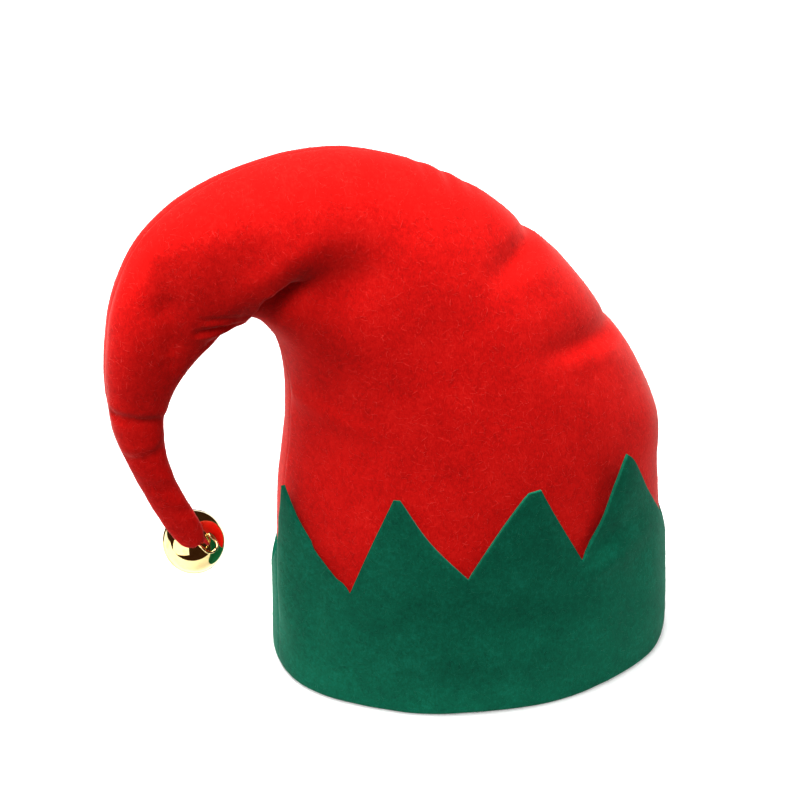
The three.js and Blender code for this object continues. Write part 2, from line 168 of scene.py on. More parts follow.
@dataclass(frozen=True)
class FeltFinish:
    """Needled polyester felt: matt, with a short brushed nap that catches light at grazing angles."""

    name: str
    deep: str
    body: str
    bright: str
    sheen_tint: str
    sheen: float = 0.3
    fibre_mm: float = 0.8
    tuft_mm: float = 2.4
    cloud_mm: float = 17.0
    speck_mm: float = 2.0
    nap_height_mm: float = 0.22
    nap_share: float = 0.16
    tuft_share: float = 0.2
    cloud_share: float = 0.22
    ground_shade: float = 0.218

    def material(self) -> Material:
        """Builds the felt material.

        Returns:
            The material.
        """
        material, tree, place = new_material(self.name)
        nap = self._streaks(tree, place)
        tufts = self._noise(tree, place, self.tuft_mm, 2.0, 0.4)
        clouds = self._noise(tree, place, self.cloud_mm, 3.0, 0.3)
        fine = scaled_sum(tree, nap, self.nap_share, self.ground_shade)
        middle = scaled_sum(tree, tufts, self.tuft_share, fine)
        mottle = scaled_sum(tree, clouds, self.cloud_share, middle)
        colour = ramp(tree, mottle, [(0.3, self.deep), (0.5, self.body), (0.7, self.bright)])
        dyed = add_node(tree, "ShaderNodeMix", {
            "Factor": self._specks(tree, place), 6: colour, 7: linear(self.deep),
        }, data_type="RGBA")
        fibres = add_node(tree, "ShaderNodeBump", {
            "Height": nap, "Strength": 0.22, "Distance": self.nap_height_mm * MM,
        })
        pile = add_node(tree, "ShaderNodeBump", {
            "Height": tufts, "Strength": 0.2, "Distance": 1.5 * self.nap_height_mm * MM,
            "Normal": fibres.outputs[0],
        })
        shader = add_node(tree, "ShaderNodeBsdfPrincipled", {
            "Base Color": dyed.outputs[2], "Roughness": 0.95, "Specular IOR Level": 0.05,
            "Sheen Weight": self.sheen, "Sheen Roughness": 0.32, "Sheen Tint": linear(self.sheen_tint),
            "Normal": pile.outputs[0],
        })
        add_node(tree, "ShaderNodeOutputMaterial", {"Surface": shader.outputs[0]})
        return material

    def _noise(self, tree: NodeTree, place: NodeSocket, size_mm: float, detail: float,
               distortion: float) -> NodeSocket:
        """Adds a noise with features of a size in millimetres and returns its value."""
        return add_node(tree, "ShaderNodeTexNoise", {
            "Vector": place, "Scale": 1 / (size_mm * MM), "Detail": detail, "Roughness": 0.6,
            "Distortion": distortion,
        }).outputs["Fac"]

    def _specks(self, tree: NodeTree, place: NodeSocket) -> NodeSocket:
        """Sparse darker specks at random places, as a share of the deep colour."""
        speck_noise = self._noise(tree, place, self.speck_mm, 1.0, 0.8)
        return add_node(tree, "ShaderNodeMapRange", {
            "Value": speck_noise, "From Min": 0.62, "From Max": 0.8, "To Max": 0.3,
        }).outputs[0]

    def _streaks(self, tree: NodeTree, place: NodeSocket) -> NodeSocket:
        """Fibres lying every way: three noises drawn out along different lines, the highest of them taken.

        Real fibres are 0.02 mm thick; they are drawn as 0.3 mm tufts so that they show.

        Args:
            tree: The node tree.
            place: The coordinates.

        Returns:
            The height of the nap.
        """
        height = None
        for turn in ((0.3, 0.9, 0.2), (1.2, 0.1, 1.4), (2.1, 1.7, 0.8)):
            turned = add_node(tree, "ShaderNodeMapping", {
                "Vector": place, "Rotation": turn, "Scale": (1.0, 0.3, 0.6),
            })
            layer = self._noise(tree, turned.outputs[0], self.fibre_mm, 2.0, 0.6)
            if height is None:
                height = layer
            else:
                inputs = {0: height, 1: layer}
                height = add_node(tree, "ShaderNodeMath", inputs, operation="MAXIMUM").outputs[0]
        return add_node(tree, "ShaderNodeMapRange", {
            "Value": height, "From Min": 0.42, "From Max": 0.78,
        }).outputs[0]


@dataclass(frozen=True)
class FibreFinish:
    """Loose polyester fibres and sewing thread: a plain dyed colour with a soft silky sheen."""

    name: str
    colour: str
    roughness: float = 0.6

    def material(self) -> Material:
        """Builds the fibre material.

        Returns:
            The material.
        """
        material, tree, place = new_material(self.name)
        shade = add_node(tree, "ShaderNodeTexNoise", {"Vector": place, "Scale": 60.0, "Detail": 2.0})
        mix = add_node(tree, "ShaderNodeMix", {
            "Factor": shade.outputs["Fac"], 6: linear(self.colour), 7: linear("ffffff"),
        }, data_type="RGBA", blend_type="SOFT_LIGHT")
        shader = add_node(tree, "ShaderNodeBsdfPrincipled", {
            "Base Color": mix.outputs[2], "Roughness": self.roughness, "Specular IOR Level": 0.2,
        })
        add_node(tree, "ShaderNodeOutputMaterial", {"Surface": shader.outputs[0]})
        return material


@dataclass(frozen=True)
class PlatedFinish:
    """Polished metal under a thin bright plating: a mirror with very fine swirls and faint spotting."""

    name: str
    colour: str
    tarnish: str
    roughness: float = 0.06
    swirl_mm: float = 4.0

    def material(self) -> Material:
        """Builds the plated metal.

        Returns:
            The material.
        """
        material, tree, place = new_material(self.name)
        spots = add_node(tree, "ShaderNodeTexNoise", {
            "Vector": place, "Scale": 1 / (self.swirl_mm * MM), "Detail": 4.0, "Roughness": 0.7,
        })
        stops = [(0.3, self.tarnish), (0.5, self.colour), (1.0, self.colour)]
        colour = ramp(tree, spots.outputs["Fac"], stops)
        rough = add_node(tree, "ShaderNodeMapRange", {
            "Value": spots.outputs["Fac"], "To Min": self.roughness * 0.6, "To Max": self.roughness * 1.6,
        })
        waves = add_node(tree, "ShaderNodeBump", {
            "Height": spots.outputs["Fac"], "Strength": 0.05, "Distance": 0.1 * MM,
        })
        shader = add_node(tree, "ShaderNodeBsdfPrincipled", {
            "Base Color": colour, "Metallic": 1.0, "Roughness": rough.outputs[0], "Normal": waves.outputs[0],
        })
        add_node(tree, "ShaderNodeOutputMaterial", {"Surface": shader.outputs[0]})
        return material


@dataclass(frozen=True)
class FloorFinish:
    """A smooth white laminated table that ends just in front of the hat.

    The camera sees white past its edge too, but the felt and the gold get no light from there.
    """

    name: str = "white_table"
    colour: str = "dcdcdc"
    glow: float = 0.35
    edge: float = -95 * MM
    away: tuple[float, float, float] = (0.3505, 0.9366, 0.0)

    def material(self) -> Material:
        """Builds the table's material.

        Returns:
            The material.
        """
        material, tree, place = new_material(self.name)
        path = add_node(tree, "ShaderNodeLightPath")
        depth = add_node(tree, "ShaderNodeVectorMath", {0: place, 1: self.away}, operation="DOT_PRODUCT")
        beyond = add_node(tree, "ShaderNodeMath", {
            0: depth.outputs["Value"], 1: self.edge,
        }, operation="LESS_THAN")
        open_air = add_node(tree, "ShaderNodeBsdfTransparent")
        ended = add_node(tree, "ShaderNodeMixShader", {
            0: beyond.outputs[0], 1: self._laminate(tree, 0.0), 2: open_air.outputs[0],
        })
        shown = add_node(tree, "ShaderNodeMixShader", {
            0: path.outputs["Is Camera Ray"], 1: ended.outputs[0], 2: self._laminate(tree, self.glow),
        })
        add_node(tree, "ShaderNodeOutputMaterial", {"Surface": shown.outputs[0]})
        return material

    def _laminate(self, tree: NodeTree, glow: float) -> NodeSocket:
        """Adds the laminate's shader with a glow of its own and returns it."""
        return add_node(tree, "ShaderNodeBsdfPrincipled", {
            "Base Color": linear(self.colour), "Roughness": 0.7, "Specular IOR Level": 0.2,
            "Emission Color": linear("ffffff"), "Emission Strength": glow,
        }).outputs[0]


@dataclass(frozen=True)
class CardFinish:
    """A bright white card that only polished metal mirrors."""

    name: str = "white_card"
    glow: float = 2.4

    def material(self) -> Material:
        """Builds the card's material."""
        material, tree, _ = new_material(self.name)
        light = add_node(tree, "ShaderNodeEmission", {"Color": linear("fffaf0"), "Strength": self.glow})
        add_node(tree, "ShaderNodeOutputMaterial", {"Surface": light.outputs[0]})
        return material


@dataclass(frozen=True)
class Crease:
    """A crease or a soft fold along a line seen from the front, in millimetres."""

    side: Side
    start: tuple[float, float]
    end: tuple[float, float]
    width: float
    depth: float
    lip: float = 0.0
    sharp: bool = False

    def _seen_from(self, point: Vector) -> tuple[Vector, Vector, float]:
        """Where a place lies against the crease's line, seen from the front.

        Args:
            point: The place, in metres.

        Returns:
            The line, the way from its start to the place and how far along the line that is, 0 to 1.
        """
        start = Vector(self.start) * MM
        along = Vector(self.end) * MM - start
        away = Vector((point.x, point.z)) - start
        return along, away, min(max(away.dot(along) / along.length_squared, 0.0), 1.0)

    def near(self, point: Vector, side: Side) -> bool:
        """Whether a place lies so near the crease's line that the mesh has to be fine there."""
        if self.side not in (Side.BOTH, side):
            return False
        along, away, share = self._seen_from(point)
        return (away - share * along).length < CREASE_NEAR * self.width * MM

    def inward(self, point: Vector, side: Side) -> float:
        """How far the felt is pushed in here.

        Args:
            point: The place, in metres.
            side: The side that the place is on.

        Returns:
            The depth in metres; below zero the felt stands out.
        """
        if self.side not in (Side.BOTH, side):
            return 0.0
        along, away, share = self._seen_from(point)
        offset = away - share * along
        width = self.width * MM
        reach = offset.length / width
        if reach > CREASE_END:
            return 0.0
        taper = math.exp(-((2 * share - 1) ** 4))
        if self.side is not Side.BOTH:
            seam = min(abs(point.y) / SEAM_CALM, 1.0)
            taper *= seam * seam * (3 - 2 * seam)
        across = along.x * away.y - along.y * away.x
        signed = math.copysign(offset.length, across) / width
        valley = math.exp(-reach) if self.sharp else math.exp(-reach * reach)
        bulge = math.exp(-((signed - 1.5) ** 2))
        return taper * (self.depth * valley - self.lip * bulge) * MM


def creases_of(side: Side, *rows: tuple) -> tuple[Crease, ...]:
    """A side's creases, each row the start, end, width, depth and perhaps the lip and sharpness of one."""
    return tuple(Crease(side, *row) for row in rows)


@dataclass
class Drape:
    """How the felt hangs: its creases, its slow waves and the way that it rolls into the seams.

    Neighbouring panels read the same field, so they move together and stay clear of each other.
    """

    wave: float = 0.8 * MM
    wave_length: float = 42 * MM
    ripple: float = 0.22 * MM
    ripple_length: float = 14 * MM
    seam_calm: float = 0.35
    seam_calm_reach: float = 30 * MM
    seam_roll: float = 0.12 * MM
    seam_reach: float = 1.1 * MM
    seam_fill: float = 0.55 * MM
    seam_fill_reach: float = 6 * MM
    seam_fill_ends: tuple[float, float] = (-122 * MM, -96 * MM)
    pucker: float = 0.3 * MM
    pucker_length: float = 8 * MM
    pucker_reach: float = 9 * MM
    narrow: float = 3.6
    creases: tuple[Crease, ...] = (
        *creases_of(Side.FRONT,
            # The crook: the peak folds over the crown, with a light ridge above the fold.
            ((-103.5, 166.0), (-99.0, 180.0), 2.2, 3.2, 1.2, True),
            ((-100.0, 178.0), (-89.0, 184.5), 2.6, 3.4, 1.4, True),
            ((-97.0, 178.0), (-80.0, 186.0), 5.5, 2.4),
            ((-84.0, 186.0), (-60.0, 191.0), 9.0, 1.6),
            ((-116.0, 177.0), (-80.0, 203.0), 7.0, -1.6),
            ((-124.0, 188.0), (-96.0, 205.0), 11.0, 1.6),
            # Short wrinkles on the inner edge of the bend.
            ((-109.0, 168.5), (-128.0, 168.0), 1.5, 1.1, 0.8),
            ((-110.0, 172.5), (-126.0, 174.0), 1.6, 0.7, 0.6),
            ((-110.0, 165.0), (-124.0, 160.0), 1.8, 0.9, 0.5),
            # The long hollow down the inside of the tail.
            ((-142.0, 200.0), (-141.0, 174.0), 8.5, 1.8),
            ((-141.5, 186.0), (-136.0, 158.0), 5.5, 2.9),
            ((-137.0, 168.0), (-139.0, 150.0), 5.0, 1.3),
            ((-152.0, 196.0), (-152.0, 150.0), 7.0, -0.9),
            # Folds across the tail.
            ((-166.0, 134.0), (-139.0, 129.0), 2.6, 1.3, 0.5),
            ((-158.0, 112.0), (-140.0, 116.0), 3.0, 0.9, 0.5),
            ((-150.0, 101.0), (-137.0, 97.0), 3.0, 0.7, 0.4),
            ((-138.0, 88.0), (-128.0, 84.0), 2.6, 0.6, 0.3),
        ),
        *creases_of(Side.BOTH,
            # Dents over the outer seam.
            ((25.0, 194.0), (-8.0, 185.5), 4.6, 2.2),
            ((22.0, 181.0), (2.0, 180.0), 5.0, -1.0),
            ((62.0, 150.0), (11.0, 152.0), 4.2, 1.8),
            ((50.0, 143.0), (18.0, 146.0), 4.0, -1.1),
            ((-22.0, 231.0), (-30.0, 219.0), 3.0, 0.6),
            ((-10.0, 228.0), (-20.0, 214.0), 3.0, 0.7),
            ((0.0, 222.0), (-8.0, 212.0), 3.0, 0.5),
        ),
        *creases_of(Side.FRONT,
            # Soft folds of the crown's wall and the cuff.
            ((-90.0, 134.0), (-66.0, 125.0), 4.0, -0.9),
            ((-40.0, 176.0), (-10.0, 120.0), 16.0, 1.4),
            ((22.0, 57.0), (66.0, 67.0), 4.5, -1.5),
            ((25.0, 67.0), (50.0, 75.0), 5.0, 1.6),
            ((-60.0, 27.0), (10.0, 23.0), 7.0, -0.9),
            ((-40.0, 45.0), (10.0, 40.0), 9.0, 1.1),
            ((-91.5, 62.0), (-91.5, 24.0), 1.6, -0.8),
            ((-84.0, 64.0), (-84.0, 20.0), 3.0, 0.8),
        ),
        *creases_of(Side.BACK,
            # The back, quieter.
            ((-104.0, 166.0), (-90.0, 186.0), 3.2, 2.4, 1.2, True),
            ((-92.0, 186.0), (-66.0, 191.0), 7.0, 1.4),
            ((-112.0, 165.0), (-125.0, 168.0), 2.8, 1.0, 0.5),
            ((-162.0, 136.0), (-142.0, 130.0), 2.8, 1.1, 0.5),
            ((-10.0, 150.0), (40.0, 120.0), 12.0, 1.2),
            ((-60.0, 60.0), (-20.0, 30.0), 9.0, 1.0),
        ),
    )

    def narrow_at(self, point: Vector, side: Side) -> bool:
        """Whether a crease narrower than self.narrow millimetres, too narrow for the mesh, runs here."""
        return any(crease.width < self.narrow and crease.near(point, side) for crease in self.creases)

    def inward(self, point: Vector, side: Side) -> float:
        """How far the felt is moved in at a place.

        Args:
            point: The place, in metres.
            side: The panel's side.

        Returns:
            The distance in metres.
        """
        seam = abs(point.y)
        calm = min(1.0, self.seam_calm + seam / self.seam_calm_reach)
        moved = self.wave * calm * noise.noise(point / self.wave_length)
        moved += self.ripple * calm * noise.noise(point / self.ripple_length + Vector((7.0, 3.0, 5.0)))
        moved += sum(crease.inward(point, side) for crease in self.creases)
        moved += self.seam_roll * math.exp(-((seam / self.seam_reach) ** 2))
        start, end = self.seam_fill_ends
        wide = min(max((point.x - start) / (end - start), 0.0), 1.0)
        moved -= wide * self.seam_fill * math.exp(-((seam / self.seam_fill_reach) ** 2))
        ruck = noise.noise(Vector((point.x, 0.0, point.z)) / self.pucker_length)
        moved += self.pucker * ruck * math.exp(-((seam / self.pucker_reach) ** 2))
        return moved


def object_from(name: str, mesh: BMesh, material: Material | None) -> Object:
    """Makes a smooth shaded object at the origin from a bmesh and frees the bmesh.

    Args:
        name: The object's name.
        mesh: The bmesh.
        material: The material, if it has one yet.

    Returns:
        The object, linked to the scene.
    """
    data = bpy.data.meshes.new(name)
    for face in mesh.faces:
        face.smooth = True
    mesh.to_mesh(data)
    mesh.free()
    if material is not None:
        data.materials.append(material)
    made = bpy.data.objects.new(name, data)
    bpy.context.scene.collection.objects.link(made)
    return made


def applied(made: Object) -> BMesh:
    """Takes an object's mesh with its modifiers applied and removes the object.

    Args:
        made: The object.

    Returns:
        The finished mesh as a bmesh.
    """
    bpy.context.view_layer.update()
    graph = bpy.context.evaluated_depsgraph_get()
    result = bmesh.new()
    result.from_object(made, graph)
    bpy.data.objects.remove(made)
    return result


def round_edges(made: Object, width: float, angle: float) -> None:
    """Adds a bevel to an object's sharp edges.

    Args:
        made: The object.
        width: The bevel's width.
        angle: How far an edge has to turn to be rounded.
    """
    edge = made.modifiers.new("rounded_edges", "BEVEL")
    edge.width = width
    edge.segments = 2
    edge.limit_method = "ANGLE"
    edge.angle_limit = angle


def turn_quarters(mesh: BMesh, verts: list, axis: str, quarters: int = 1) -> None:
    """Turns points by quarter turns about an axis through the origin."""
    turn = Matrix.Rotation(quarters * math.pi / 2, 3, axis)
    bmesh.ops.rotate(mesh, verts=verts, cent=ORIGIN, matrix=turn)


def spin(mesh: BMesh, geom: list, steps: int, centre: tuple | Vector = ORIGIN,
         axis: tuple | Vector = UP, angle: float = 2 * math.pi, merge: bool = True) -> list:
    """Sweeps points, edges or faces round an axis.

    Args:
        mesh: The mesh.
        geom: What is swept.
        steps: The number of steps.
        centre: A point of the axis.
        axis: The axis.
        angle: How far round.
        merge: Whether the end is joined to the start.

    Returns:
        What the last step made.
    """
    return bmesh.ops.spin(mesh, geom=geom, cent=centre, axis=axis, dvec=ORIGIN, angle=angle, steps=steps,
                          use_merge=merge, use_normal_flip=False, use_duplicate=False)["geom_last"]


@dataclass
class FeltPanel:
    """One cut piece of felt, from the outer face of its solid."""

    node: str
    piece: str
    side: Side
    slot: str
    flat: tuple[float, float]
    area: float
    rests_on: tuple[str, ...]
    toothed: bool = False
    levels: int = 2
    corner_angle: float = math.radians(24)
    fold_angle: float = math.radians(62)
    quad_flatness: float = math.radians(50)
    quad_squareness: float = math.radians(60)
    edge_round: float = 0.4 * MM
    edge_angle: float = math.radians(55)
    seam_loops: tuple[float, ...] = (0.5 * MM, 1.0 * MM, 1.7 * MM, 2.8 * MM, 4.4 * MM)
    seam_loop_snap: float = 0.05 * MM
    seam_close: float = 1.0 * MM
    fine_edge: float = 1.1 * MM
    fine_passes: int = 2
    face: BMesh | None = None

    def build(self, node: Object, drape: Drape, material: Material) -> Object:
        """Args:
            node: The solid that it replaces.
            drape: How the felt hangs.
            material: The felt.

        Returns:
            The panel's object.
        """
        face = self._outer_face(node)
        if self.toothed:
            self._keep_corners(face)
        face = self._smoothed(face)
        self._cut_seam_loops(face)
        self._refine(face, drape)
        self._hang(face, drape)
        self.face = face.copy()
        made = object_from(self.piece, face, material)
        sheet = made.modifiers.new("thickness", "SOLIDIFY")
        sheet.thickness = FELT_THICKNESS
        sheet.offset = -1.0
        sheet.use_even_offset = True
        sheet.thickness_clamp = 1.0
        if self.toothed:
            round_edges(made, self.edge_round, self.edge_angle)
        whole = applied(made)
        made = object_from(self.piece, whole, material)
        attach(made, BODY)
        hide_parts(self.node)
        return made

    def _outer_face(self, node: Object) -> BMesh:
        """Copies the solid's outer face, the largest region between its sharp edges, as quads.

        Args:
            node: The solid.

        Returns:
            The open face.
        """
        mesh = bmesh.new()
        mesh.from_mesh(node.data)
        bmesh.ops.remove_doubles(mesh, verts=mesh.verts, dist=WELD)
        mesh.faces.ensure_lookup_table()
        left = set(mesh.faces)
        best: tuple[float, set] = (0.0, set())
        while left:
            region = {left.pop()}
            border = list(region)
            while border:
                face = border.pop()
                for edge in face.edges:
                    if len(edge.link_faces) != 2 or edge.calc_face_angle() > self.fold_angle:
                        continue
                    for other in edge.link_faces:
                        if other in left:
                            left.discard(other)
                            region.add(other)
                            border.append(other)
            size = sum(face.calc_area() for face in region)
            if size > best[0]:
                best = (size, region)
        rest = [face for face in mesh.faces if face not in best[1]]
        bmesh.ops.delete(mesh, geom=rest, context="FACES")
        bmesh.ops.join_triangles(mesh, faces=mesh.faces, angle_face_threshold=self.quad_flatness,
                                 angle_shape_threshold=self.quad_squareness)
        return mesh

    def _keep_corners(self, mesh: BMesh) -> None:
        """Creases the points of the cut edge where it turns, so that the teeth stay pointed."""
        layer = mesh.verts.layers.float.new("crease_vert")
        for vert in mesh.verts:
            rim = [edge.other_vert(vert).co - vert.co for edge in vert.link_edges if edge.is_boundary]
            if len(rim) == 2 and rim[0].angle(-rim[1]) > self.corner_angle:
                vert[layer] = 1.0

    def _smoothed(self, mesh: BMesh) -> BMesh:
        """Subdivides the face to a smooth surface and returns it."""
        made = object_from(self.piece + "_rough", mesh, None)
        smooth = made.modifiers.new("smooth", "SUBSURF")
        smooth.levels = smooth.render_levels = self.levels
        smooth.boundary_smooth = "PRESERVE_CORNERS"
        return applied(made)

    def _cut_seam_loops(self, mesh: BMesh) -> None:
        """Cuts edge loops beside the seam, close enough together to round it."""
        for away in self.seam_loops:
            geom = [*mesh.verts, *mesh.edges, *mesh.faces]
            place = (0.0, self.side.value * away, 0.0)
            bmesh.ops.bisect_plane(mesh, geom=geom, dist=self.seam_loop_snap, plane_co=place,
                                   plane_no=(0.0, 1.0, 0.0))

    def _refine(self, mesh: BMesh, drape: Drape) -> None:
        """Halves the mesh along the narrow creases until it can follow them."""
        for _ in range(self.fine_passes):
            edges = [edge for edge in mesh.edges if edge.calc_length() > self.fine_edge
                     and drape.narrow_at((edge.verts[0].co + edge.verts[1].co) / 2, self.side)]
            bmesh.ops.subdivide_edges(mesh, edges=edges, cuts=1, use_grid_fill=True)
            bmesh.ops.triangulate(mesh, faces=[face for face in mesh.faces if len(face.verts) > 4])

    def _hang(self, mesh: BMesh, drape: Drape) -> None:
        """Moves every point of the face in along its normal, as the drape says, and closes the seam."""
        mesh.normal_update()
        moves = [(vert, vert.normal * drape.inward(vert.co, self.side)) for vert in mesh.verts]
        for vert, move in moves:
            vert.co -= move
            away = max(0.0, abs(vert.co.y) - SEAM_GAP / 2)
            vert.co.y -= self.side.value * SEAM_GAP / 2 * math.exp(-away / self.seam_close)


@dataclass
class LooseNap:
    """Fibres that the needles and handling pulled loose, lying over the face of the felt.

    A real fibre is 0.02 mm thick; these are drawn as 0.05 mm so that they show.
    """

    per_square_metre: float = 130000.0
    length: float = 2.6 * MM
    thickness: float = 0.05 * MM
    lift: float = 0.16 * MM
    rises: tuple[float, ...] = (1.5, 0.2, -1.6)
    root_depth: float = 0.3
    smallest: float = 0.5
    largest: float = 1.3
    kinds: int = 5

    def build(self, piece: str, face: BMesh, slot: str, material: Material,
              seed: int) -> Object:
        """Strews fibres over a panel's outer face.

        Args:
            piece: The new piece's name.
            face: The open face, which is freed.
            slot: The record's material slot; not used.
            material: The fibres' material.
            seed: What the places are drawn from.

        Returns:
            The fibres as one joined mesh.
        """
        strands = bpy.data.collections.new(piece + "_strands")
        drawn = random.Random(seed)
        for kind in range(self.kinds):
            strand = self._strand(f"{piece}_strand_{kind}", drawn)
            bpy.context.scene.collection.objects.unlink(strand)
            strands.objects.link(strand)
        bpy.context.scene.collection.children.link(strands)
        ground = object_from(piece + "_ground", face, None)
        strewn = ground.modifiers.new("strewn", "NODES")
        strewn.node_group = self._tree(strands, seed)
        fibres = object_from(piece, applied(ground), material)
        for strand in list(strands.objects):
            bpy.data.objects.remove(strand)
        bpy.data.collections.remove(strands)
        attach(fibres, BODY)
        return fibres

    def _strand(self, name: str, drawn: random.Random) -> Object:
        """One curved three-sided fibre that rises out of the felt and dips back into it.

        Args:
            name: The object's name.
            drawn: Where its bends come from.

        Returns:
            The fibre, lying along X.
        """
        mesh = bmesh.new()
        bmesh.ops.create_circle(mesh, cap_ends=True, segments=3, radius=self.thickness / 2)
        turn_quarters(mesh, mesh.verts, "Y")
        bmesh.ops.translate(mesh, verts=mesh.verts, vec=(-self.length / 2, 0.0, -self.root_depth * self.lift))
        end = mesh.faces[:]
        heading = drawn.uniform(-0.5, 0.5)
        bend = drawn.uniform(-0.7, 0.7)
        step = self.length / len(self.rises)
        for rise in self.rises:
            grown = bmesh.ops.extrude_face_region(mesh, geom=end)
            verts = [item for item in grown["geom"] if isinstance(item, BMVert)]
            end = [item for item in grown["geom"] if isinstance(item, BMFace)]
            move = Vector((step * math.cos(heading), step * math.sin(heading), rise * self.lift))
            bmesh.ops.translate(mesh, verts=verts, vec=move)
            heading += bend
        bmesh.ops.recalc_face_normals(mesh, faces=mesh.faces)
        return object_from(name, mesh, None)

    def _tree(self, strands: Collection, seed: int) -> NodeTree:
        """Geometry nodes that put a random strand at random points of the face, lying on it.

        Args:
            strands: The strands to pick from.
            seed: What the places are drawn from.

        Returns:
            The node group.
        """
        tree = bpy.data.node_groups.new("strewn_nap", "GeometryNodeTree")
        tree.interface.new_socket("Geometry", in_out="INPUT", socket_type="NodeSocketGeometry")
        tree.interface.new_socket("Geometry", in_out="OUTPUT", socket_type="NodeSocketGeometry")
        ground = add_node(tree, "NodeGroupInput").outputs[0]
        points = add_node(tree, "GeometryNodeDistributePointsOnFaces", {
            "Mesh": ground, "Density": self.per_square_metre, "Seed": seed,
        })
        picked = add_node(tree, "GeometryNodeCollectionInfo", {
            "Collection": strands, "Separate Children": True, "Reset Children": True,
        })
        angle = self._random(tree, 0.0, 2 * math.pi, seed)
        turn = add_node(tree, "FunctionNodeAxisAngleToRotation", {"Axis": UP, "Angle": angle})
        rotation = add_node(tree, "FunctionNodeRotateRotation", {
            "Rotation": points.outputs["Rotation"], "Rotate By": turn.outputs[0],
        }, rotation_space="LOCAL")
        size = self._random(tree, self.smallest, self.largest, seed + 1)
        placed = add_node(tree, "GeometryNodeInstanceOnPoints", {
            "Points": points.outputs["Points"], "Instance": picked.outputs[0], "Pick Instance": True,
            "Rotation": rotation.outputs[0], "Scale": size,
        })
        realized = add_node(tree, "GeometryNodeRealizeInstances", {"Geometry": placed.outputs[0]})
        add_node(tree, "NodeGroupOutput", {0: realized.outputs[0]})
        return tree

    def _random(self, tree: NodeTree, low: float, high: float, seed: int) -> NodeSocket:
        """Adds a random number for each point and returns it."""
        inputs = {2: low, 3: high, 8: seed}
        return add_node(tree, "FunctionNodeRandomValue", inputs, data_type="FLOAT").outputs[1]


@dataclass
class Hat:
    """The felt of the hat: two crown panels and two cuff panels."""

    drape: Drape = field(default_factory=Drape)
    nap: LooseNap = field(default_factory=LooseNap)
    red: FeltFinish = FeltFinish("red_needled_felt", "980a08", "cb0e0b", "e2201a", "ffc8be", 0.2)
    green: FeltFinish = FeltFinish("green_needled_felt", "053c2f", "085941", "12755c", "9ae6cc", 0.16)
    # The red fibres are paler and greyer than the felt. This is partly their own colour and partly painted
    # glint, standing in for the light that catches the loose nap.
    red_fibre_painted_glint: FibreFinish = FibreFinish("red_polyester_fibre_painted_glint", "d8302a")
    green_fibre: FibreFinish = FibreFinish("green_polyester_fibre", "0c6046")

    def build(self, nodes: dict[str, Object]) -> None:
        """Builds the four panels and the loose fibres on them.

        Args:
            nodes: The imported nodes.
        """
        felts = {"red_felt": self.red.material(), "green_felt": self.green.material()}
        fibres = {"red_felt": self.red_fibre_painted_glint.material(), "green_felt": self.green_fibre.material()}
        for number, panel in enumerate(self._panels()):
            felt = panel.build(nodes[panel.node], self.drape, felts[panel.slot])
            nap = self.nap.build(panel.node + "_nap", panel.face, panel.slot, fibres[panel.slot],
                                 SEED + number)
            for piece in (felt, nap):
                log.info("%s: %d faces", piece.name, len(piece.data.polygons))

    def _panels(self) -> list[FeltPanel]:
        """The four cut pieces."""
        crown_flat, crown_area = (0.28, 0.36), 0.0534
        cuff_flat, cuff_area = (0.275, 0.13), 0.0244
        return [
            FeltPanel("crown_front", "crown_front_felt", Side.FRONT, "red_felt", crown_flat, crown_area,
                      ("cuff_front", "crown_back")),
            FeltPanel("crown_back", "crown_back_felt", Side.BACK, "red_felt", crown_flat, crown_area,
                      ("cuff_back", "crown_front")),
            FeltPanel("cuff_front", "cuff_front_felt", Side.FRONT, "green_felt", cuff_flat, cuff_area,
                      ("crown_front",), toothed=True),
            FeltPanel("cuff_back", "cuff_back_felt", Side.BACK, "green_felt", cuff_flat, cuff_area,
                      ("crown_back",), toothed=True),
        ]


